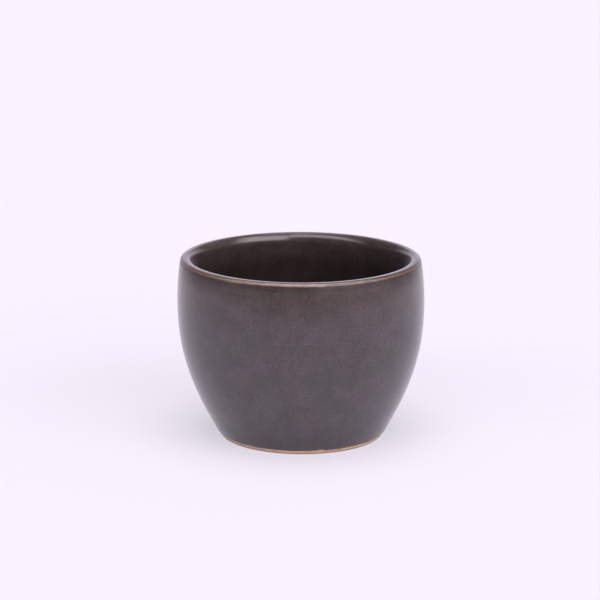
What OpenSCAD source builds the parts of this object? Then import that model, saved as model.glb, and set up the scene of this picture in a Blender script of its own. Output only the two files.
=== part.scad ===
// Round-bellied stoneware candle vessel: a thrown clay body with fired glaze coats.
// The vessel stands on the plane z = 0, and its axis is the Z axis.
// Every solid is an outline in the half plane [radius, height], turned about the axis.

/* [Overall] */
// Widest outside diameter, at the belly
belly_diameter = 95; // [86:0.5:104]
// Height from the table to the crest of the lip
vessel_height = 69.35; // [67.85:0.05:70.85]

/* [Outside wall] */
// Height of the widest point above the table
belly_height = 51.6; // [50:0.1:53]
// Radius of the arc that the outside wall follows below the belly
wall_arc_radius = 88; // [85:0.5:92]
// Radius of the arc that the outside wall follows above the belly
upper_arc_radius = 98; // [94:0.5:102]
// Height up to which the wall is a straight cone, before it starts to curve
skirt_height = 10.5; // [4:0.5:14]

/* [Lip] */
// How far the crest of the lip lies inside the widest point of the belly
crest_inset = 3.4; // [3.2:0.1:3.6]
// Radius of the low dome across the top of the lip
lip_dome_radius = 7.2; // [6.9:0.1:7.5]
// Rounding of the lip's outer edge, where the dome meets the outside wall
lip_outer_edge = 1.2; // [1.05:0.05:1.3]
// Rounding of the lip's inner edge, where the dome turns down into the mouth
lip_inner_edge = 0.6; // [0.55:0.05:0.9]
// How far the throat, where the mouth is narrowest, lies inside the crest
throat_inset = 2.6; // [2.4:0.1:2.8]
// Depth of the throat below the crest
throat_depth = 3.7; // [3.4:0.1:4]
// Radius of the curve from the lip's inner edge down past the throat
throat_rounding = 6; // [5.5:0.1:6.5]

/* [Hollow] */
// Radius of the arc that the inside wall follows
hollow_arc_radius = 80; // [77:0.5:86]
// Height of the widest point of the hollow
hollow_belly_height = 53; // [52:0.1:54]
// Height of the inside floor above the table
floor_height = 7.3; // [6:0.1:9]
// Rounding where the floor turns up into the wall
floor_rounding = 12; // [8:0.5:15]

/* [Foot] */
// Height of the bare clay band around the foot
bare_band_height = 1.55; // [0.9:0.05:3]
// Bevel around the outside edge of the foot
foot_bevel = 0.4; // [0.2:0.1:0.7]
// Width of the flat ring that the vessel stands on
foot_ring_width = 7.2; // [5:0.1:9]
// Depth of the recess inside the foot ring
recess_depth = 1.6; // [1:0.1:2.2]
// How far the side of the recess leans in from the foot ring to its ceiling
recess_lean = 1; // [0.4:0.1:1.6]

/* [Glaze] */
// Thickness of the glaze coats
glaze_thickness = 0.35; // [0.2:0.05:0.45]
// Bare margin between the side of the recess and the glaze on its ceiling
base_glaze_margin = 1.2; // [0.5:0.1:3]

/* [Hidden] */
$fn = 180;
clay_colour = "#bc937a";
glaze_colour = "#544c50";
rim_colour = "#8a7464";
liner_colour = "#2e2828";

// Straight steps along the wall arcs, each arc of the lip and the floor rounding
wall_steps = 16;
lip_steps = 6;
floor_steps = 8;

// The outside wall: two arcs with their centres level with the belly, and a straight skirt below
belly_radius = belly_diameter / 2;
wall_centre = [belly_radius - wall_arc_radius, belly_height];
upper_centre = [belly_radius - upper_arc_radius, belly_height];
skirt_angle = asin((skirt_height - belly_height) / wall_arc_radius);

// Angle of the line from one point to another
function heading(from, to) = atan2(to.y - from.y, to.x - from.x);

// The point to the left of the line from a to b that is these distances from a and from b
function crossing(a, from_a, b, from_b) =
    let (
        line = b - a,
        unit = line / norm(line),
        along = (line * line + pow(from_a, 2) - pow(from_b, 2)) / (2 * norm(line)),
        across = sqrt(pow(from_a, 2) - pow(along, 2))
    )
    a + along * unit + across * [-unit.y, unit.x];

// The top of the lip is a low dome, and the outer edge's circle touches it and the upper arc
crest_radius = belly_radius - crest_inset;
dome_centre = [crest_radius, vessel_height - lip_dome_radius];
outer_edge_centre = crossing(
    upper_centre, upper_arc_radius - lip_outer_edge,
    dome_centre, lip_dome_radius - lip_outer_edge
);
shoulder_angle = heading(upper_centre, outer_edge_centre);
brow_angle = heading(dome_centre, outer_edge_centre);

// The inner edge's circle touches the dome and the throat's circle, both from within
throat_radius = crest_radius - throat_inset;
throat_centre = [throat_radius + throat_rounding, vessel_height - throat_depth];
inner_edge_centre = crossing(
    dome_centre, lip_dome_radius - lip_inner_edge,
    throat_centre, throat_rounding - lip_inner_edge
);
brink_angle = heading(dome_centre, inner_edge_centre);
turn_angle = heading(throat_centre, inner_edge_centre);

// The hollow's arc touches the throat's circle from the other side
hollow_rise = throat_centre.y - hollow_belly_height;
hollow_reach = sqrt(pow(hollow_arc_radius + throat_rounding, 2) - pow(hollow_rise, 2));
hollow_centre = [throat_centre.x - hollow_reach, hollow_belly_height];
mouth_angle = atan2(hollow_rise, hollow_reach);

// The floor rounding touches the floor and the hollow's arc
floor_rounding_drop = floor_height + floor_rounding - hollow_belly_height;
floor_rounding_reach = sqrt(pow(hollow_arc_radius - floor_rounding, 2) - pow(floor_rounding_drop, 2));
floor_rounding_centre = hollow_centre + [floor_rounding_reach, floor_rounding_drop];
corner_angle = atan2(floor_rounding_drop, floor_rounding_reach);

// Points along an arc, from one angle to another
function arc(centre, radius, from, to, steps) =
    [for (i = [0:steps]) let (a = from + (to - from) * i / steps) centre + radius * [cos(a), sin(a)]];

// Point on the straight skirt at a height, on the surface that lies depth inside the finished one
function skirt_point(depth, height) =
    let (start = wall_centre + (wall_arc_radius - depth) * [cos(skirt_angle), sin(skirt_angle)])
    start + (start.y - height) / cos(skirt_angle) * [sin(skirt_angle), -cos(skirt_angle)];

// Each stretch of the outline below lies depth inside the finished surface, so that a coat's two
// faces are the same stretch at two depths, and the clay shares its points with the coats
function lower_wall(depth) =
    arc(wall_centre, wall_arc_radius - depth, skirt_angle, 0, wall_steps);
function upper_wall(depth) =
    arc(upper_centre, upper_arc_radius - depth, 0, shoulder_angle, wall_steps);
function outer_edge(depth) =
    arc(outer_edge_centre, lip_outer_edge - depth, shoulder_angle, brow_angle, lip_steps);
function dome(depth) =
    arc(dome_centre, lip_dome_radius - depth, brow_angle, brink_angle, lip_steps);
function inner_edge(depth) =
    arc(inner_edge_centre, lip_inner_edge - depth, brink_angle, turn_angle, lip_steps);
function throat(depth) =
    arc(throat_centre, throat_rounding - depth, turn_angle, 180 + mouth_angle, lip_steps);
function inside_wall(depth) =
    arc(hollow_centre, hollow_arc_radius + depth, mouth_angle, corner_angle, wall_steps);
function floor_turn(depth) =
    arc(floor_rounding_centre, floor_rounding + depth, corner_angle, -90, floor_steps);

// Points but the first, where a stretch begins at the point that the one before it ended on
function after_first(points) = [for (i = [1:len(points) - 1]) points[i]];

// Points in the opposite order
function reversed(points) = [for (i = [len(points) - 1:-1:0]) points[i]];

// A coat between the finished surface and the clay, from the same stretch at the two depths
function coat(finished, on_clay) = concat(finished, reversed(on_clay));

function lip(depth) =
    concat(
        outer_edge(depth),
        after_first(dome(depth)),
        after_first(inner_edge(depth)),
        after_first(throat(depth))
    );

function liner(depth) =
    concat(inside_wall(depth), after_first(floor_turn(depth)), [[0, floor_height - depth]]);

function outside(depth) =
    concat([skirt_point(depth, bare_band_height)], lower_wall(depth), after_first(upper_wall(depth)));

bevel_top = skirt_point(glaze_thickness, foot_bevel);
foot_edge_radius = bevel_top.x - foot_bevel;
recess_radius = foot_edge_radius - foot_ring_width;
recess_ceiling_radius = recess_radius - recess_lean;

foot_outline = [
    [0, recess_depth],
    [recess_ceiling_radius, recess_depth],
    [recess_radius, 0],
    [foot_edge_radius, 0],
    bevel_top
];

module turned(outline) {
    rotate_extrude() polygon(outline);
}

// Clay body: foot ring, wall and lip in one piece
module stoneware_body() {
    color(clay_colour)
        turned(concat(
            foot_outline,
            outside(glaze_thickness),
            after_first(lip(glaze_thickness)),
            after_first(liner(glaze_thickness))
        ));
}

// Coat on the outside, from its hem above the bare band to the shoulder of the lip
module outer_glaze() {
    color(glaze_colour)
        turned(coat(outside(0), outside(glaze_thickness)));
}

// Coat over the lip, from its shoulder outside to below the throat inside
module rim_glaze() {
    color(rim_colour)
        turned(coat(lip(0), lip(glaze_thickness)));
}

// Coat inside, down the wall and across the floor
module liner_glaze() {
    color(liner_colour)
        turned(coat(liner(0), liner(glaze_thickness)));
}

// Round patch of glaze on the ceiling of the recess under the base
module base_glaze() {
    color(glaze_colour)
        translate([0, 0, recess_depth - glaze_thickness])
            cylinder(h = glaze_thickness, r = recess_ceiling_radius - base_glaze_margin);
}

stoneware_body();
outer_glaze();
rim_glaze();
liner_glaze();
base_glaze();
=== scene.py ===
import math

import bpy
import numpy as np
from mathutils import Matrix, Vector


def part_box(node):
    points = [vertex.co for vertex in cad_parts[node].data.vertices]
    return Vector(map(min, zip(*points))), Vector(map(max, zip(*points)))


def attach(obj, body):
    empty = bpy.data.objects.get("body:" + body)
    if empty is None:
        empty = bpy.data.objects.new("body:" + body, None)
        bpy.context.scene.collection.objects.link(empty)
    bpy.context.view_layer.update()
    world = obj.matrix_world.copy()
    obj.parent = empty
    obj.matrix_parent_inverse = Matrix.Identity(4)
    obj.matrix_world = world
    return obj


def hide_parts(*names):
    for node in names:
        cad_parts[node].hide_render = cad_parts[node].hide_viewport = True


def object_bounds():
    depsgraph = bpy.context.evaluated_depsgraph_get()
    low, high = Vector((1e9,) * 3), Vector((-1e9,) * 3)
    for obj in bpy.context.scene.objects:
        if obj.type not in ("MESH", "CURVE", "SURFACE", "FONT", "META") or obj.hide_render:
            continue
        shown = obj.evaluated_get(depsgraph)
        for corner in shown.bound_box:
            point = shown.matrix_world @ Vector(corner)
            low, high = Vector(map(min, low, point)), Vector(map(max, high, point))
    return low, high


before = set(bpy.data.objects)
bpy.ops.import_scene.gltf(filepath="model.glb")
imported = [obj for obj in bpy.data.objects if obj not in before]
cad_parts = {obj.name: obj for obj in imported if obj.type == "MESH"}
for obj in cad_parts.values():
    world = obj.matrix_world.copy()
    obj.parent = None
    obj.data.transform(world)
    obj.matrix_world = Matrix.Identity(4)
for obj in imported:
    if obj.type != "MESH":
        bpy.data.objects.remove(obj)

CAD_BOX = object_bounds()

# ---------------------------------------------------------------------------
# Driving dimensions, in metres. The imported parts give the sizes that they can;
# the arcs below are the design's own, which a box can't tell.
# ---------------------------------------------------------------------------
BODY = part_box("stoneware_body")
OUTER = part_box("outer_glaze")
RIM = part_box("rim_glaze")
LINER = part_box("liner_glaze")
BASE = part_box("base_glaze")

GLAZE_THICKNESS = 0.00035
WALL_ARC_RADIUS = 0.088
UPPER_ARC_RADIUS = 0.098
BELLY_HEIGHT = 0.0516
SKIRT_HEIGHT = 0.0105
CREST_INSET = 0.0034
LIP_DOME = 0.0072
LIP_OUTER_EDGE = 0.0012
LIP_INNER_EDGE = 0.0006
THROAT_INSET = 0.0026
THROAT_DEPTH = 0.0037
THROAT_ROUNDING = 0.006
HOLLOW_ARC_RADIUS = 0.080
HOLLOW_BELLY_HEIGHT = 0.053
FLOOR_ROUNDING = 0.012
FOOT_BEVEL = 0.0004
FOOT_RING_WIDTH = 0.0072
RECESS_LEAN = 0.001

# The surface waves a little, as clay does, so it starts this far inside the CAD box
WAVE_ROOM = 0.00006
VESSEL_HEIGHT = RIM[1].z - WAVE_ROOM
BELLY_RADIUS = min(OUTER[1].x, OUTER[1].y, -OUTER[0].x, -OUTER[0].y) - WAVE_ROOM
CREST_RADIUS = BELLY_RADIUS - CREST_INSET
THROAT_RADIUS = CREST_RADIUS - THROAT_INSET
FOOT_PLANE = BODY[0].z
HEM_HEIGHT = OUTER[0].z
SHOULDER_HEIGHT = OUTER[1].z
FLOOR_HEIGHT = LINER[0].z + GLAZE_THICKNESS
RECESS_DEPTH = BASE[1].z
BASE_GLAZE_RADIUS = BASE[1].x

# The vessel leans this much to the left, as thrown, in metres per metre of height
LEAN = 0.0071


def radians(*degrees):
    """Angles in degrees, as angles in radians."""
    return tuple(math.radians(angle) for angle in degrees)


# ---------------------------------------------------------------------------
# The outline, as arcs that touch: [radius, height] points, outside to inside
# ---------------------------------------------------------------------------
# Points closer than this are one point, and a smaller radius is on the axis
SAME_POINT = 1e-9


def arc(centre, radius, start, end, steps):
    """Points along an arc, angles in radians."""
    angles = np.linspace(start, end, steps + 1)
    around = np.column_stack([np.cos(angles), np.sin(angles)])
    return np.asarray(centre) + radius * around


def line(start, end, steps):
    """Points along a straight line."""
    share = np.linspace(0, 1, steps + 1)[:, None]
    return np.array(start) + (np.array(end) - np.array(start)) * share


def joined(*stretches):
    """Stretches in a row, without the points that they share."""
    points = [stretches[0]]
    for stretch in stretches[1:]:
        same = np.allclose(points[-1][-1], stretch[0], rtol=0, atol=SAME_POINT)
        points.append(stretch[1:] if same else stretch)
    return np.vstack(points)


def meet(a, a_radius, b, b_radius):
    """Where two circles cross, on the left of the line from a to b."""
    gap = b - a
    length = math.hypot(*gap)
    along = (length**2 + a_radius**2 - b_radius**2) / (2 * length)
    across = math.sqrt(a_radius**2 - along**2)
    unit = gap / length
    return a + unit * along + across * np.array([-unit[1], unit[0]])


def heading(start, end):
    """The angle of the line from one point to another."""
    return math.atan2(end[1] - start[1], end[0] - start[0])


class Outline:
    """The finished surface's arcs and, at a depth below it, the clay's.

    wall, upper, dome, edge, brink, throat, hollow and floor are the centres of the arcs.
    """

    def __init__(self):
        self.wall = np.array([BELLY_RADIUS - WALL_ARC_RADIUS, BELLY_HEIGHT])
        self.upper = np.array([BELLY_RADIUS - UPPER_ARC_RADIUS, BELLY_HEIGHT])
        self.skirt_angle = math.asin((SKIRT_HEIGHT - BELLY_HEIGHT) / WALL_ARC_RADIUS)
        self.dome = np.array([CREST_RADIUS, VESSEL_HEIGHT - LIP_DOME])
        self.edge = meet(
            self.upper, UPPER_ARC_RADIUS - LIP_OUTER_EDGE, self.dome, LIP_DOME - LIP_OUTER_EDGE
        )
        self.shoulder_angle = heading(self.upper, self.edge)
        self.brow_angle = heading(self.dome, self.edge)
        self.throat = np.array([THROAT_RADIUS + THROAT_ROUNDING, VESSEL_HEIGHT - THROAT_DEPTH])
        self.brink = meet(
            self.dome, LIP_DOME - LIP_INNER_EDGE, self.throat, THROAT_ROUNDING - LIP_INNER_EDGE
        )
        self.brink_angle = heading(self.dome, self.brink)
        self.turn_angle = heading(self.throat, self.brink)
        rise = self.throat[1] - HOLLOW_BELLY_HEIGHT
        reach = math.sqrt((HOLLOW_ARC_RADIUS + THROAT_ROUNDING) ** 2 - rise**2)
        self.hollow = np.array([self.throat[0] - reach, HOLLOW_BELLY_HEIGHT])
        self.mouth_angle = math.atan2(rise, reach)
        drop = FLOOR_HEIGHT + FLOOR_ROUNDING - HOLLOW_BELLY_HEIGHT
        reach = math.sqrt((HOLLOW_ARC_RADIUS - FLOOR_ROUNDING) ** 2 - drop**2)
        self.floor = self.hollow + [reach, drop]
        self.corner_angle = math.atan2(drop, reach)

    def skirt_point(self, depth, height):
        """A point on the straight lower wall."""
        slope = np.array([math.cos(self.skirt_angle), math.sin(self.skirt_angle)])
        start = self.wall + (WALL_ARC_RADIUS - depth) * slope
        down = np.array([slope[1], -slope[0]])
        return start + down * (start[1] - height) / slope[0]

    def skirt(self, depth, bottom, steps):
        """The straight lower wall from a height up to the start of the wall's arc."""
        return line(self.skirt_point(depth, bottom), self.wall_arc(depth, steps=2)[0], steps)

    def wall_arc(self, depth, steps):
        """The wall from the skirt to the lip's shoulder, in two arcs with half the steps each."""
        below = arc(self.wall, WALL_ARC_RADIUS - depth, self.skirt_angle, 0, steps // 2)
        above = arc(self.upper, UPPER_ARC_RADIUS - depth, 0, self.shoulder_angle, steps // 2)
        return joined(below, above)

    def lip(self, depth, finer=1):
        """The lip from its shoulder outside, over its dome, to below the throat."""
        end = math.pi + self.mouth_angle
        shoulder, brow, brink, turn = (
            self.shoulder_angle, self.brow_angle, self.brink_angle, self.turn_angle
        )
        return joined(
            arc(self.edge, LIP_OUTER_EDGE - depth, shoulder, brow, steps=8 * finer),
            arc(self.dome, LIP_DOME - depth, brow, brink, steps=8 * finer),
            arc(self.brink, LIP_INNER_EDGE - depth, brink, turn, steps=5 * finer),
            arc(self.throat, THROAT_ROUNDING - depth, turn, end, steps=10 * finer),
        )

    def liner(self, depth, finer=1):
        """Down the inside wall, round the floor's rounding and across the floor to the axis."""
        mouth, corner = self.mouth_angle, self.corner_angle
        wall = arc(self.hollow, HOLLOW_ARC_RADIUS + depth, mouth, corner, steps=24 * finer)
        turn = arc(self.floor, FLOOR_ROUNDING + depth, corner, -math.pi / 2, steps=8 * finer)
        return joined(wall, turn, line(turn[-1], (0, turn[-1][1]), steps=8 * finer))


OUTLINE = Outline()

# ---------------------------------------------------------------------------
# What the hand and the kiln did: waves in the wall, the hem of the glaze
# ---------------------------------------------------------------------------
# Throwing rings: how far the wall swells and sinks, and the height from one to the next
RING_DEPTH = 0.00007
RING_PITCH = 0.036
# Sums of waves: seed, how many, most turns around the vessel, usual pitch in height
DENT_WAVES = (11, 9, 7, 0.030)
HEM_SLOW_WAVES = (5, 8, 14, 1.0)
HEM_FINE_WAVES = (6, 8, 60, 1.0)
BASE_EDGE_WAVES = (9, 7, 18, 1.0)
# The shortest and longest pitch, as shares of the usual one
SHORT_PITCH, LONG_PITCH = 0.6, 1.8
# What brings a sum to about -1 to 1, once it is divided by the root of how many waves it has
SUM_SCALE = 1.2
# How far such waves move the surface
DENT_DEPTH = 0.000035
HEM_SLOW_RISE = 0.00010
HEM_FINE_RISE = 0.00005
BASE_EDGE_DRAW = 0.0005
# A notch in the hem right of the front, steeper on its right side
NOTCH_ANGLE, NOTCH_WIDTH = radians(13.5, 3.6)
NOTCH_RISE = 0.00040
NOTCH_STEEPER = 2.2


def smooth_noise(angle, height, seed, waves, around, along):
    """A sum of waves over the wall, about -1 to 1, that meets itself after a full turn."""
    draw = np.random.default_rng(seed)
    total = np.zeros(np.broadcast(angle, height).shape)
    for _ in range(waves):
        turns = draw.integers(1, around + 1)
        pitch = draw.uniform(along * SHORT_PITCH, along * LONG_PITCH)
        phase, start = draw.uniform(0, 2 * math.pi, 2)
        total = total + np.cos(turns * angle + phase) * np.cos(2 * math.pi * height / pitch + start)
    return total / math.sqrt(waves) / SUM_SCALE


def wall_wave(angle, height):
    """How far the outside wall stands out or in, in metres: slow throwing rings and dents."""
    ring = -RING_DEPTH * np.cos(2 * math.pi * (height - BELLY_HEIGHT) / RING_PITCH)
    return ring + DENT_DEPTH * np.clip(smooth_noise(angle, height, *DENT_WAVES), -1, 1)


def hem_rise(angle):
    """How far the glaze's hem stands above its usual height, in metres, round the foot."""
    level = np.zeros_like(angle)
    slow = HEM_SLOW_RISE * smooth_noise(angle, level, *HEM_SLOW_WAVES)
    fine = HEM_FINE_RISE * smooth_noise(angle, level, *HEM_FINE_WAVES)
    away = (angle - NOTCH_ANGLE + math.pi) % (2 * math.pi) - math.pi
    away = np.where(away > 0, away * NOTCH_STEEPER, away)
    notch = NOTCH_RISE * np.exp(-((away / NOTCH_WIDTH) ** 2))
    return slow + fine + notch


def leaned(points):
    """Points with the vessel's lean, which leaves the belly where it is."""
    out = points.copy()
    out[:, 0] -= LEAN * (points[:, 2] - BELLY_HEIGHT)
    return out


# ---------------------------------------------------------------------------
# Meshes of revolution. Angle 0 is the front, -Y, and angles grow towards +X.
# ---------------------------------------------------------------------------
AROUND = 384
# Edges that bend more than this look sharp
SHARP_ANGLE = math.radians(35)


def turned(name, outline, change=None):
    """A closed solid from an outline that starts and ends on the axis or returns to its start."""
    outline = np.asarray(outline, float)
    on_axis = np.abs(outline[:, 0]) < SAME_POINT
    angles = np.linspace(0, 2 * math.pi, AROUND, endpoint=False)
    points, rows = [], []
    for (radius, height), pole in zip(outline, on_axis):
        rows.append(len(points))
        ring = np.array([0.0]) if pole else angles
        radii = np.full(ring.shape, radius)
        heights = np.full(ring.shape, height)
        if change is not None:
            radii, heights = change(radii, heights, ring)
        points.extend(np.column_stack([radii * np.sin(ring), -radii * np.cos(ring), heights]))
    faces = []
    count = len(outline)
    closed = not (on_axis[0] and on_axis[-1])
    for row in range(count if closed else count - 1):
        following = (row + 1) % count
        for step in range(AROUND):
            beside = (step + 1) % AROUND
            a, b = rows[row] + step, rows[row] + beside
            c, d = rows[following] + beside, rows[following] + step
            if on_axis[row]:
                faces.append((rows[row], c, d))
            elif on_axis[following]:
                faces.append((a, b, rows[following]))
            else:
                faces.append((a, b, c, d))
    mesh = bpy.data.meshes.new(name)
    mesh.from_pydata([tuple(point) for point in leaned(np.array(points))], [], faces)
    mesh.validate()
    mesh.shade_smooth()
    mesh.set_sharp_from_angle(angle=SHARP_ANGLE)
    piece = bpy.data.objects.new(name, mesh)
    bpy.context.scene.collection.objects.link(piece)
    return piece


def stand_for(piece, node, material):
    """Hands the piece to the frame in place of its CAD node, with its material."""
    piece.data.materials.append(material)
    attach(piece, "root")
    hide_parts(node)
    return piece


# ---------------------------------------------------------------------------
# The pieces
# ---------------------------------------------------------------------------
# Points along the quarter rounds at the edges of the coats
ROUNDING_POINTS = 6
# How far above the hem its rise is felt
HEM_REACH = 0.004
# The wall's waves grow over this height above the hem, and end over this one below the shoulder
WAVES_GROW = 0.02
WAVES_END = 0.004


def hem_change(radius, height, angle):
    """Moves the lower edge of the outer glaze up and down along the wall, and waves the wall."""
    above_hem = height - HEM_HEIGHT
    rise = hem_rise(angle) * np.clip(1 - above_hem / HEM_REACH, 0, 1) ** 2
    grown = np.clip(above_hem / WAVES_GROW, 0, 1)
    remaining = np.clip((SHOULDER_HEIGHT - height) / WAVES_END, 0, 1)
    along_wall = radius - math.tan(OUTLINE.skirt_angle) * rise
    return along_wall + grown * remaining * wall_wave(angle, height), height + rise


def base_edge_change(radius, height, angle):
    """Draws the base glaze in by a wavy amount, most at its edge."""
    share = np.clip(radius / BASE_GLAZE_RADIUS, 0, 1) ** 4
    waves = smooth_noise(angle, np.zeros_like(angle), *BASE_EDGE_WAVES)
    return radius - share * BASE_EDGE_DRAW * (1 + waves), height


def build_clay(material):
    depth = GLAZE_THICKNESS
    bevel_top = OUTLINE.skirt_point(depth, FOOT_BEVEL)
    foot_edge = bevel_top[0] - FOOT_BEVEL
    recess = foot_edge - FOOT_RING_WIDTH
    ceiling = recess - RECESS_LEAN
    outline = joined(
        line((0, RECESS_DEPTH), (ceiling, RECESS_DEPTH), steps=6),
        line((ceiling, RECESS_DEPTH), (recess, FOOT_PLANE), steps=3),
        line((recess, FOOT_PLANE), (foot_edge, FOOT_PLANE), steps=6),
        line((foot_edge, FOOT_PLANE), bevel_top, steps=3),
        OUTLINE.skirt(depth, FOOT_BEVEL, steps=20),
        OUTLINE.wall_arc(depth, steps=30),
        OUTLINE.lip(depth),
        OUTLINE.liner(depth),
    )
    piece = turned("clay_body", outline)
    return stand_for(piece, "stoneware_body", material)


def build_outer_glaze(material):
    depth = GLAZE_THICKNESS
    hem_top = HEM_HEIGHT + depth
    # The hem is a quarter round from the clay to the finished surface
    corner = OUTLINE.skirt_point(depth, hem_top)
    on_clay = OUTLINE.skirt_point(depth, HEM_HEIGHT) - corner
    outwards = OUTLINE.skirt_point(0, hem_top) - corner
    bend = np.linspace(0, math.pi / 2, ROUNDING_POINTS)[:, None]
    hem = corner + on_clay * np.cos(bend) + outwards * np.sin(bend)
    outside = joined(hem, OUTLINE.skirt(0, hem_top, steps=14), OUTLINE.wall_arc(0, steps=60))
    inside = joined(
        OUTLINE.wall_arc(depth, steps=30)[::-1],
        OUTLINE.skirt(depth, HEM_HEIGHT, steps=8)[::-1],
    )
    piece = turned("glaze_outside", joined(outside, inside)[:-1], hem_change)
    return stand_for(piece, "outer_glaze", material)


def build_rim_glaze(material):
    outline = np.vstack([OUTLINE.lip(0, finer=2), OUTLINE.lip(GLAZE_THICKNESS)[::-1]])
    piece = turned("glaze_rim", outline)
    return stand_for(piece, "rim_glaze", material)


def build_liner_glaze(material):
    outline = np.vstack([OUTLINE.liner(GLAZE_THICKNESS)[::-1], OUTLINE.liner(0, finer=2)])
    piece = turned("glaze_inside", outline)
    return stand_for(piece, "liner_glaze", material)


def build_base_glaze(material):
    top, bottom = BASE[1].z, BASE[0].z
    edge = BASE_GLAZE_RADIUS
    bend = np.linspace(-math.pi / 2, 0, ROUNDING_POINTS)
    radii = edge - GLAZE_THICKNESS * (1 - np.cos(bend))
    rounding = np.column_stack([radii, top + (top - bottom) * np.sin(bend)])
    outline = joined(
        line((0, bottom), rounding[0], steps=8), rounding, line(rounding[-1], (0, top), steps=4)
    )
    piece = turned("glaze_base", outline, base_edge_change)
    return stand_for(piece, "base_glaze", material)


# ---------------------------------------------------------------------------
# Nodes
# ---------------------------------------------------------------------------
class Graph:
    """Short names for adding and joining the nodes of a material or a world."""

    def __init__(self, owner):
        owner.use_nodes = True
        self.tree = owner.node_tree
        self.tree.nodes.clear()

    def add(self, kind, **settings):
        node = self.tree.nodes.new(kind)
        for key, value in settings.items():
            setattr(node, key, value)
        return node

    def link(self, source, target):
        self.tree.links.new(source, target)

    def put(self, socket, value):
        """Links a socket, or sets a plain value on it."""
        if isinstance(value, bpy.types.NodeSocket):
            self.link(value, socket)
        else:
            socket.default_value = value

    def split(self, vector):
        """The X, Y and Z of a vector."""
        parts = self.add("ShaderNodeSeparateXYZ")
        self.link(vector, parts.inputs[0])
        return parts.outputs["X"], parts.outputs["Y"], parts.outputs["Z"]

    def math(self, operation, a, b=0.0):
        node = self.add("ShaderNodeMath", operation=operation)
        self.put(node.inputs[0], a)
        self.put(node.inputs[1], b)
        return node.outputs[0]

    def product(self, first, *others):
        """All the values, multiplied."""
        for other in others:
            first = self.math("MULTIPLY", first, other)
        return first

    def ramp(self, value, low, high, to_low=0.0, to_high=1.0, smooth=True):
        """Maps low..high onto to_low..to_high, clamped."""
        node = self.add("ShaderNodeMapRange")
        node.interpolation_type = "SMOOTHSTEP" if smooth else "LINEAR"
        self.put(node.inputs["Value"], value)
        self.put(node.inputs["From Min"], low)
        self.put(node.inputs["From Max"], high)
        self.put(node.inputs["To Min"], to_low)
        self.put(node.inputs["To Max"], to_high)
        return node.outputs["Result"]

    def blend(self, share, without, full):
        """A value that goes straight from one to another as share goes from 0 to 1."""
        return self.ramp(share, 0.0, 1.0, without, full, smooth=False)

    def window(self, value, low, high, soft):
        """1 between low and high, 0 outside, with edges 2 x soft wide."""
        rise = self.ramp(value, low - soft, low + soft)
        fall = self.ramp(value, high - soft, high + soft, 1.0, 0.0)
        return self.product(rise, fall)

    def scaled(self, colour, amount):
        """A colour times an amount."""
        node = self.add("ShaderNodeVectorMath", operation="SCALE")
        self.put(node.inputs[0], colour)
        self.put(node.inputs["Scale"], amount)
        return node.outputs[0]

    def sum_of(self, first, second):
        """Two colours, added."""
        node = self.add("ShaderNodeVectorMath", operation="ADD")
        self.put(node.inputs[0], first)
        self.put(node.inputs[1], second)
        return node.outputs[0]


class MaterialNodes(Graph):
    """The nodes of one material, with the places on the piece that its patterns follow."""

    def __init__(self, name):
        self.material = bpy.data.materials.new(name)
        super().__init__(self.material)
        output = self.add("ShaderNodeOutputMaterial")
        self.shader = self.add("ShaderNodeBsdfPrincipled")
        self.link(self.shader.outputs[0], output.inputs["Surface"])
        self.place = self.add("ShaderNodeTexCoord").outputs["Object"]
        self.x, self.y, self.height = self.split(self.place)
        flat = self.add("ShaderNodeCombineXYZ")
        self.link(self.x, flat.inputs["X"])
        self.link(self.y, flat.inputs["Y"])
        length = self.add("ShaderNodeVectorMath", operation="LENGTH")
        self.link(flat.outputs[0], length.inputs[0])
        self.radius = length.outputs["Value"]

    def distance(self, point):
        """How far the surface is from a point, in metres."""
        node = self.add("ShaderNodeVectorMath", operation="DISTANCE")
        self.link(self.place, node.inputs[0])
        node.inputs[1].default_value = point
        return node.outputs["Value"]

    def below_crest(self, deep, shallow, at_deep, at_shallow):
        """A value that changes between two depths below the crest of the lip."""
        low, high = VESSEL_HEIGHT - deep, VESSEL_HEIGHT - shallow
        return self.ramp(self.height, low, high, at_deep, at_shallow)

    def noise(self, size, detail, rough):
        """Noise whose features are about size metres across, from 0 to 1."""
        node = self.add("ShaderNodeTexNoise")
        self.link(self.place, node.inputs["Vector"])
        node.inputs["Scale"].default_value = 1 / size
        node.inputs["Detail"].default_value = detail
        node.inputs["Roughness"].default_value = rough
        return node.outputs["Fac"]

    def mottle(self, size, detail, rough, low, high, to_low=0.0, to_high=1.0):
        """Patches of noise: its levels from low to high become to_low..to_high."""
        return self.ramp(self.noise(size, detail, rough), low, high, to_low, to_high)

    def cells(self, size):
        """Distance to the nearest of scattered points, in cells of about size metres."""
        node = self.add("ShaderNodeTexVoronoi")
        self.link(self.place, node.inputs["Vector"])
        node.inputs["Scale"].default_value = 1 / size
        return node.outputs["Distance"]

    def mix(self, share, a, b):
        """Mixes two colours."""
        node = self.add("ShaderNodeMix", data_type="RGBA")
        self.put(node.inputs["Factor"], share)
        for socket, colour in (("A", a), ("B", b)):
            plain = not isinstance(colour, bpy.types.NodeSocket)
            self.put(node.inputs[socket], (*colour, 1) if plain else colour)
        return node.outputs["Result"]

    def bump(self, heights, distance, under=None):
        """A normal bent by a relief of this height in metres, over another one."""
        node = self.add("ShaderNodeBump")
        self.link(heights, node.inputs["Height"])
        node.inputs["Distance"].default_value = distance
        if under is not None:
            self.link(under, node.inputs["Normal"])
        return node.outputs["Normal"]


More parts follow.
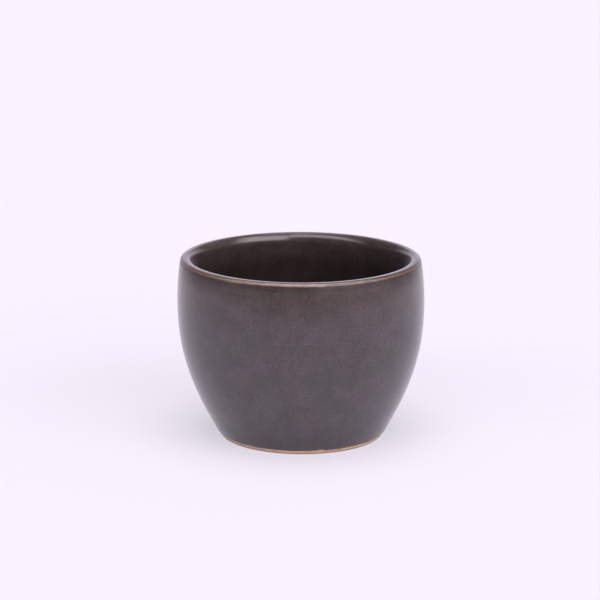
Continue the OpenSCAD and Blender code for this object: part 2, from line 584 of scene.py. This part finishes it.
# ---------------------------------------------------------------------------
# Glaze
# ---------------------------------------------------------------------------
# Colours, linear
GLAZE_GREY = (0.050, 0.0368, 0.0425)
GLAZE_OLIVE = (0.052, 0.038, 0.033)
GLAZE_PURPLE = (0.052, 0.0365, 0.046)
GLAZE_GREEN = (0.045, 0.038, 0.041)
# Painted shade deep inside the hollow
GLAZE_DEEP_PAINTED_SHADE = (0.0215, 0.0165, 0.0140)
GLAZE_BREAK = (0.268, 0.198, 0.136)
# Dark patches of the break, and its painted shade towards the sides
GLAZE_BREAK_DARK_AND_SHADED = (0.095, 0.060, 0.036)
GLAZE_BREAK_EDGE = (0.030, 0.020, 0.015)
GLAZE_IOR = 1.65
GLAZE_SHEEN = 0.20
GLAZE_SHEEN_ROUGHNESS = 0.3
GLAZE_SHEEN_TINT = (0.86, 0.80, 1.0, 1.0)
# Noise: feature size in metres, detail, roughness
BREAK_WANDER_NOISE = (0.005, 3, 0.6)
PEEL_NOISE = (0.0030, 2, 0.5)
GRAIN_NOISE = (0.0006, 2, 0.5)
# The noise's middle level
NOISE_MIDDLE = 0.5
# Mottles: noise, the two levels that it is cut between, and what they become if not 0 and 1
GLAZE_PATCHES = (0.011, 3, 0.55, 0.38, 0.62)
GLAZE_GREY_PATCHES = (0.007, 3, 0.6, 0.35, 0.65, 0.0, 0.7)
GLAZE_SPECKLE = (0.0007, 2, 0.6, 0.30, 0.70)
GLAZE_CLOUDS = (0.008, 4, 0.65, 0.32, 0.68, 0.80, 1.16)
GLAZE_ROUGHNESS = (0.0012, 2, 0.6, 0.3, 0.7, 0.15, 0.23)
BREAK_PATCHES = (0.0035, 3, 0.6, 0.40, 0.68, 0.0, 0.5)
# How much the speckle darkens and lightens the glaze
SPECKLE_INSIDE = 0.10
SPECKLE_OUTSIDE = 0.20
# Relief of the glaze, in metres: orange peel and, on it, a finer grain
PEEL_HEIGHT = 0.000012
GRAIN_HEIGHT = 0.000003
# Fades: two depths below the crest of the lip, then the values there
OLIVE_FADE = (0.022, 0.002, 0.0, 0.85)
# Painted shade deep inside the hollow fades in between these depths
DEEP_PAINTED_SHADE_FADE = (0.014, 0.003, 1.0, 0.0)
# A band of painted shade below the break, between these depths
SHADE_BAND_LOWER = (0.0036, 0.0024, 1.0, 0.72)
SHADE_BAND_UPPER = (0.0018, 0.0010, 0.0, 1.0)
BREAK_NEAR_LIP = (0.0035, 0.0025, 0.0, 1.0)
BREAK_DULL = (0.0085, 0.003, 0.0, 0.75)
# Two heights above the table, then the shares of the glaze's colour there, which paint shade near
# the foot
FOOT_PAINTED_SHADE = (0.003, 0.016, 0.70, 1.0)
# One pale speck on the inside wall at the back, with a soft edge from its core outwards
SPECK_PLACE = (-0.0008, 0.0420, 0.0620)
SPECK_RADIUS = 0.0007
SPECK_CORE = 0.5 * SPECK_RADIUS
SPECK_COLOUR = (0.075, 0.050, 0.045)
# Round the lip's outer edge: where the break fades in and where it fades out
BREAK_LOWER = radians(0, 32)
BREAK_UPPER = radians(58, 80)
# Round the same edge: where its dark lower margin ends and its dark upper margin begins
BREAK_DARK_BELOW = radians(2, 30)
BREAK_DARK_ABOVE = radians(48, 64)
# How far all of these wander, in radians, and how far inside the edge the break ends, in metres
BREAK_WANDER = 0.5
BREAK_INNER_FADE = 0.0004
# Shares of the crest's radius, sideways, between which the front of the lip becomes its side
BREAK_SIDE = (0.35, 0.93)
# At the side the break starts this much lower and is this much darker, with painted shade, and its
# dark margins fade in between these shares of the way there
BREAK_SIDE_REACH = math.radians(34)
BREAK_SIDE_PAINTED_SHADE = 0.8
BREAK_MARGIN_SIDE = (0.1, 0.6)
# The break is duller than the glaze; its specular level falls towards the side
BREAK_ROUGHNESS = 0.32
GLAZE_SPECULAR = 0.5
BREAK_SIDE_SPECULAR = 0.08
# Right of the front, a run of thicker glaze covers the lower part of the lip's edge: the x
# between which it starts and ends, the y between which it fades to the back, and its height
GLAZE_RUN_START = (0.0083, 0.0093)
GLAZE_RUN_END = (0.022, 0.031)
GLAZE_RUN_BACK = (-0.01, 0.0)
GLAZE_RUN_REACH = math.radians(20)
# The centre of the rounding of the lip's outer edge
EDGE_RADIUS, EDGE_HEIGHT = (float(value) for value in OUTLINE.edge)


def glaze_colour(nodes, inside):
    """Patches of three greys, olive towards the lip and darker with painted shade deep inside or,
    outside, by the foot, under slow clouds and a fine speckle."""
    colour = nodes.mix(nodes.mottle(*GLAZE_PATCHES), GLAZE_GREEN, GLAZE_PURPLE)
    colour = nodes.mix(nodes.mottle(*GLAZE_GREY_PATCHES), colour, GLAZE_GREY)
    colour = nodes.mix(nodes.below_crest(*OLIVE_FADE), colour, GLAZE_OLIVE)
    if inside:
        # Painted shade deep inside the hollow
        colour = nodes.mix(nodes.below_crest(*DEEP_PAINTED_SHADE_FADE), colour, GLAZE_DEEP_PAINTED_SHADE)
        speck = nodes.ramp(nodes.distance(SPECK_PLACE), SPECK_CORE, SPECK_RADIUS, 1.0, 0.0)
        colour = nodes.mix(speck, colour, SPECK_COLOUR)
    else:
        # Painted shade on the glaze near the foot
        colour = nodes.scaled(colour, nodes.ramp(nodes.height, *FOOT_PAINTED_SHADE))
    contrast = SPECKLE_INSIDE if inside else SPECKLE_OUTSIDE
    speckle = nodes.mottle(*GLAZE_SPECKLE, 1.0 - contrast, 1.0 + contrast)
    return nodes.scaled(colour, nodes.product(speckle, nodes.mottle(*GLAZE_CLOUDS)))


def lip_angle(nodes):
    """The direction round the lip's outer edge, with some wander: 0 outwards, 90 degrees up."""
    across = nodes.math("SUBTRACT", nodes.radius, EDGE_RADIUS)
    up = nodes.math("SUBTRACT", nodes.height, EDGE_HEIGHT)
    wander = nodes.math("SUBTRACT", nodes.noise(*BREAK_WANDER_NOISE), NOISE_MIDDLE)
    wander = nodes.product(wander, BREAK_WANDER)
    return nodes.math("ADD", nodes.math("ARCTAN2", up, across), wander)


def glaze_run(nodes):
    """How far up the lip's edge the run of thicker glaze pushes the break, in radians."""
    start = nodes.ramp(nodes.x, *GLAZE_RUN_START)
    end = nodes.ramp(nodes.x, *GLAZE_RUN_END, 1.0, 0.0)
    front = nodes.ramp(nodes.y, *GLAZE_RUN_BACK, GLAZE_RUN_REACH, 0.0)
    return nodes.product(start, end, front)


def break_side(nodes):
    """0 at the front and back of the lip, 1 at its sides."""
    low, high = (share * CREST_RADIUS for share in BREAK_SIDE)
    return nodes.ramp(nodes.math("ABSOLUTE", nodes.x), low, high)


def break_share(nodes, angle, side):
    """1 where the glaze runs thin over the lip's outer edge and breaks to golden brown."""
    reach = nodes.math("ADD", angle, nodes.product(side, BREAK_SIDE_REACH))
    lower = nodes.ramp(nodes.math("SUBTRACT", reach, glaze_run(nodes)), *BREAK_LOWER)
    upper = nodes.ramp(angle, *BREAK_UPPER, 1.0, 0.0)
    near = nodes.below_crest(*BREAK_NEAR_LIP)
    outside = nodes.ramp(nodes.radius, EDGE_RADIUS - BREAK_INNER_FADE, EDGE_RADIUS)
    return nodes.product(lower, upper, near, outside)


def break_colour(nodes, angle, side):
    """Golden brown in front; towards the sides darker with painted shade, and almost black along
    both margins.
    """
    patchy = nodes.mottle(*BREAK_PATCHES)
    # Painted shade towards the sides, and dark patches
    dark = nodes.math("MAXIMUM", nodes.product(side, BREAK_SIDE_PAINTED_SHADE), patchy)
    colour = nodes.mix(dark, GLAZE_BREAK, GLAZE_BREAK_DARK_AND_SHADED)
    below = nodes.ramp(angle, *BREAK_DARK_BELOW, 1.0, 0.0)
    above = nodes.ramp(angle, *BREAK_DARK_ABOVE)
    margins = nodes.math("MAXIMUM", below, above)
    margins = nodes.product(margins, nodes.ramp(side, *BREAK_MARGIN_SIDE))
    return nodes.mix(margins, colour, GLAZE_BREAK_EDGE)


def painted_shade_band(nodes):
    """How much of the glaze's colour is left in the band of painted shade below the break."""
    return nodes.math("MAXIMUM", nodes.below_crest(*SHADE_BAND_LOWER), nodes.below_crest(*SHADE_BAND_UPPER))


def add_break(nodes, colour, rough):
    """The colour and roughness with the break at the lip, which also shines less at the sides."""
    # Painted shade in a band below the break
    colour = nodes.scaled(colour, painted_shade_band(nodes))
    angle = lip_angle(nodes)
    side = break_side(nodes)
    share = break_share(nodes, angle, side)
    colour = nodes.mix(share, colour, break_colour(nodes, angle, side))
    rough = nodes.blend(share, rough, BREAK_ROUGHNESS)
    dull = nodes.math("MAXIMUM", share, nodes.product(nodes.below_crest(*BREAK_DULL), side))
    level = nodes.blend(side, GLAZE_SPECULAR, BREAK_SIDE_SPECULAR)
    level = nodes.blend(dull, GLAZE_SPECULAR, level)
    nodes.link(level, nodes.shader.inputs["Specular IOR Level"])
    return colour, rough


def glaze_material(name, with_lip=True, inside=False):
    nodes = MaterialNodes(name)
    colour = glaze_colour(nodes, inside)
    rough = nodes.mottle(*GLAZE_ROUGHNESS)
    if with_lip:
        colour, rough = add_break(nodes, colour, rough)
    nodes.link(colour, nodes.shader.inputs["Base Color"])
    nodes.link(rough, nodes.shader.inputs["Roughness"])
    nodes.shader.inputs["IOR"].default_value = GLAZE_IOR
    nodes.shader.inputs["Sheen Weight"].default_value = GLAZE_SHEEN
    nodes.shader.inputs["Sheen Roughness"].default_value = GLAZE_SHEEN_ROUGHNESS
    nodes.shader.inputs["Sheen Tint"].default_value = GLAZE_SHEEN_TINT
    peel = nodes.bump(nodes.noise(*PEEL_NOISE), PEEL_HEIGHT)
    grain = nodes.bump(nodes.noise(*GRAIN_NOISE), GRAIN_HEIGHT, under=peel)
    nodes.link(grain, nodes.shader.inputs["Normal"])
    return nodes.material


# ---------------------------------------------------------------------------
# Bare clay
# ---------------------------------------------------------------------------
# Colours, linear
CLAY_TAN = (0.49, 0.30, 0.185)
CLAY_PALE = (0.55, 0.375, 0.255)
# Painted shade along the foot's lower edge
CLAY_PAINTED_SHADE = (0.20, 0.115, 0.075)
CLAY_GROG = (0.30, 0.17, 0.10)
CLAY_ROUGHNESS = 0.85
# Noise and mottle, as for the glaze, and the relief's height in metres
CLAY_PATCHES = (0.003, 3, 0.6, 0.35, 0.65)
CLAY_GRAIN_NOISE = (0.0005, 3, 0.6)
CLAY_GRAIN_HEIGHT = 0.00004
# Grains of grog: cell size in metres, then two distances in cells and the grain's shares there
GROG_CELL = 0.0011
GROG_FADE = (0.10, 0.22, 0.7, 0.0)
# Two heights above the table, then the shares there of the painted shade along the foot's lower
# edge
FOOT_EDGE_SHADE_FADE = (0.0003, 0.0009, 0.75, 0.0)


def clay_material(name):
    nodes = MaterialNodes(name)
    colour = nodes.mix(nodes.mottle(*CLAY_PATCHES), CLAY_TAN, CLAY_PALE)
    colour = nodes.mix(nodes.ramp(nodes.cells(GROG_CELL), *GROG_FADE), colour, CLAY_GROG)
    # Painted shade along the foot's lower edge
    colour = nodes.mix(nodes.ramp(nodes.height, *FOOT_EDGE_SHADE_FADE), colour, CLAY_PAINTED_SHADE)
    nodes.link(colour, nodes.shader.inputs["Base Color"])
    nodes.shader.inputs["Roughness"].default_value = CLAY_ROUGHNESS
    grain = nodes.bump(nodes.noise(*CLAY_GRAIN_NOISE), CLAY_GRAIN_HEIGHT)
    nodes.link(grain, nodes.shader.inputs["Normal"])
    return nodes.material


# ---------------------------------------------------------------------------
# Floor
# ---------------------------------------------------------------------------
FLOOR_HALF = 6.0
FLOOR_COLOUR = (0.355, 0.338, 0.372)
# The floor glows: painted light
FLOOR_GLOW = (0.503, 0.494, 0.541)
FLOOR_ROUGHNESS = 0.9
FLOOR_GRAIN = (0.25, 2, 0.5, 0.3, 0.7, 0.99, 1.0)
# From where to where the floor's light changes, in metres, and the shares there
FLOOR_SIDE_FADE = (0.25, 1.2, 1.0, 0.75)
FLOOR_FRONT_FADE = (-0.7, -0.19, 0.42, 1.0)
FLOOR_RIGHT_LIFT = (0.125, 0.26, 1.0, 1.12)
# The painted pool of light grows between these distances back, and its edge slants right by this
# per metre
FLOOR_LIFT_BACK = (0.03, 0.25)
FLOOR_LIFT_SLANT = 0.126


def floor_material(name):
    """Pale paper on a lit table, which also glows: painted light, darker far to the sides and in
    front, lighter back right.
    """
    nodes = MaterialNodes(name)
    across = nodes.ramp(nodes.math("ABSOLUTE", nodes.x), *FLOOR_SIDE_FADE)
    beside = nodes.math("SUBTRACT", nodes.x, nodes.product(nodes.y, FLOOR_LIFT_SLANT))
    right = nodes.ramp(beside, *FLOOR_RIGHT_LIFT)
    lift = nodes.ramp(nodes.y, *FLOOR_LIFT_BACK, 1.0, right)
    along = nodes.ramp(nodes.y, *FLOOR_FRONT_FADE)
    light = nodes.product(across, lift, along, nodes.mottle(*FLOOR_GRAIN))
    for socket, colour in (("Base Color", FLOOR_COLOUR), ("Emission Color", FLOOR_GLOW)):
        nodes.link(nodes.scaled(colour, light), nodes.shader.inputs[socket])
    nodes.shader.inputs["Emission Strength"].default_value = 1.0
    nodes.shader.inputs["Roughness"].default_value = FLOOR_ROUGHNESS
    nodes.shader.inputs["Specular IOR Level"].default_value = 0.0
    return nodes.material


def build_floor():
    mesh = bpy.data.meshes.new("floor")
    far = FLOOR_HALF
    corners = [(-far, -far, 0), (far, -far, 0), (far, far, 0), (-far, far, 0)]
    mesh.from_pydata(corners, [], [(0, 1, 2, 3)])
    floor = bpy.data.objects.new("floor", mesh)
    bpy.context.scene.collection.objects.link(floor)
    mesh.materials.append(floor_material("pale_floor"))


# ---------------------------------------------------------------------------
# Camera
# ---------------------------------------------------------------------------
WIDTH = CAD_BOX[1].x - CAD_BOX[0].x
CAMERA_DISTANCE = 9.791 * WIDTH
CAMERA_HEIGHT = 2.946 * WIDTH
CAMERA_SIDE = -0.0036 * WIDTH
CAMERA_PITCH, CAMERA_ROLL = radians(-13.755, 0.131)
# In millimetres
CAMERA_LENS = 149.73
CAMERA_SENSOR = 36.0
# In metres
CAMERA_CLIP = (0.05, 30)


def build_camera():
    data = bpy.data.cameras.new("camera")
    data.lens = CAMERA_LENS
    data.sensor_width = CAMERA_SENSOR
    data.clip_start, data.clip_end = CAMERA_CLIP
    camera = bpy.data.objects.new("camera", data)
    camera.location = (CAMERA_SIDE, -CAMERA_DISTANCE, CAMERA_HEIGHT)
    turn = Matrix.Rotation(math.pi / 2 + CAMERA_PITCH, 3, "X")
    roll = Matrix.Rotation(CAMERA_ROLL, 3, "Z")
    camera.rotation_euler = (turn @ roll).to_euler()
    bpy.context.scene.collection.objects.link(camera)
    bpy.context.scene.camera = camera


# ---------------------------------------------------------------------------
# Light: the world alone, from the direction looked in. A direction's x, y and z run
# from -1 to 1: left to right, front to back, and down to up.
# ---------------------------------------------------------------------------
LEFT_TO_RIGHT = (-1.0, 1.0)
# Between these y, front turns to side, side to back, and the glow behind the vessel grows
FRONT_TO_SIDE = (-0.95, -0.45)
SIDE_TO_BACK = (0.3, 0.8)
GLOW_BEHIND = (0.3, 0.95)
# The room's radiance, left and right: everywhere, and added to it in the band near the horizon,
# where ROOM_BACK is added too, behind the vessel
ROOM_DARK = (0.22, 0.42)
ROOM_BRIGHT = (0.48, 0.60)
ROOM_BACK = 0.66
ROOM_TINT = (1.04, 0.95, 1.12)
# Between these z the bright band near the horizon fades out, lower on the camera's side
BAND_BACK = (0.18, 0.33)
BAND_SIDE = (0.02, 0.10)
BAND_FRONT = (-0.15, 0.02)
# Two soft lights in front. Azimuths are from the front, positive to the right.
KEY_SOFT = math.radians(5)
KEY_RIGHT_AZIMUTH = radians(15, 80)
KEY_RIGHT_ELEVATION = radians(12, 42)
KEY_RIGHT_FADE = (*radians(58, 86), 1.0, 0.10)
KEY_RIGHT_RADIANCE = 3.8
KEY_LEFT_AZIMUTH = radians(-74, 14)
KEY_LEFT_FADE = (*radians(-80, -46), 0.12, 1.0)
KEY_LEFT_RADIANCE = 3.4
# The left one's lower and upper edges are level, at these rises per distance to the front,
# which is taken as no less than the last of these
KEY_LEFT_RISE = (0.58, 1.20)
KEY_LEFT_RISE_SOFT = 0.08
KEY_LEFT_FRONT_LEAST = 0.05
# A light overhead fades in between these z
OVERHEAD_FADE = (0.90, 0.97)
OVERHEAD_RADIANCE = 3.5
LIGHT_TINT = (1.06, 0.955, 0.99)


class Sky(Graph):
    """The world's nodes, with the direction looked in."""

    def __init__(self):
        world = bpy.data.worlds.new("studio")
        bpy.context.scene.world = world
        super().__init__(world)
        output = self.add("ShaderNodeOutputWorld")
        self.background = self.add("ShaderNodeBackground")
        self.link(self.background.outputs[0], output.inputs["Surface"])
        self.x, self.y, self.z = self.split(self.add("ShaderNodeTexCoord").outputs["Generated"])
        self.front = self.math("MULTIPLY", self.y, -1.0)
        self.azimuth = self.math("ARCTAN2", self.x, self.front)
        self.elevation = self.math("ARCSINE", self.z)


def room_glow(sky):
    """The room itself: a bright band over the horizon, brightest behind the vessel."""
    low, high = (
        sky.ramp(sky.y, *SIDE_TO_BACK, sky.ramp(sky.y, *FRONT_TO_SIDE, front, side), back)
        for front, side, back in zip(BAND_FRONT, BAND_SIDE, BAND_BACK)
    )
    band = sky.ramp(sky.z, low, high, 1.0, 0.0)
    dark = sky.ramp(sky.x, *LEFT_TO_RIGHT, *ROOM_DARK, smooth=False)
    sides = sky.ramp(sky.x, *LEFT_TO_RIGHT, *ROOM_BRIGHT, smooth=False)
    behind = sky.ramp(sky.y, *GLOW_BEHIND, 0.0, ROOM_BACK)
    bright = sky.math("ADD", sides, behind)
    return sky.math("ADD", sky.product(band, bright), dark)


def key_right(sky):
    """A wide softbox low in front on the right, fainter towards its right end."""
    wide = sky.window(sky.azimuth, *KEY_RIGHT_AZIMUTH, KEY_SOFT)
    high = sky.window(sky.elevation, *KEY_RIGHT_ELEVATION, KEY_SOFT)
    fade = sky.ramp(sky.azimuth, *KEY_RIGHT_FADE)
    return sky.product(wide, high, fade, KEY_RIGHT_RADIANCE)


def key_left(sky):
    """A wide softbox higher in front on the left, fainter towards its left end."""
    wide = sky.window(sky.azimuth, *KEY_LEFT_AZIMUTH, KEY_SOFT)
    front = sky.math("MAXIMUM", sky.front, KEY_LEFT_FRONT_LEAST)
    high = sky.window(sky.math("DIVIDE", sky.z, front), *KEY_LEFT_RISE, KEY_LEFT_RISE_SOFT)
    fade = sky.ramp(sky.azimuth, *KEY_LEFT_FADE)
    return sky.product(wide, high, fade, KEY_LEFT_RADIANCE)


def build_world():
    sky = Sky()
    keys = sky.math("ADD", key_right(sky), key_left(sky))
    above = sky.ramp(sky.z, *OVERHEAD_FADE, 0.0, OVERHEAD_RADIANCE)
    lights = sky.scaled(LIGHT_TINT, sky.math("ADD", keys, above))
    room = sky.scaled(ROOM_TINT, room_glow(sky))
    sky.link(sky.sum_of(room, lights), sky.background.inputs["Color"])


# ---------------------------------------------------------------------------
# The scene
# ---------------------------------------------------------------------------
bpy.context.scene.view_settings.view_transform = "Standard"
build_camera()
build_world()
build_floor()

satin = glaze_material("satin_glaze")
build_clay(clay_material("bare_stoneware"))
build_outer_glaze(satin)
build_rim_glaze(satin)
build_liner_glaze(glaze_material("satin_glaze_inside", with_lip=False, inside=True))
build_base_glaze(glaze_material("satin_glaze_base", with_lip=False))
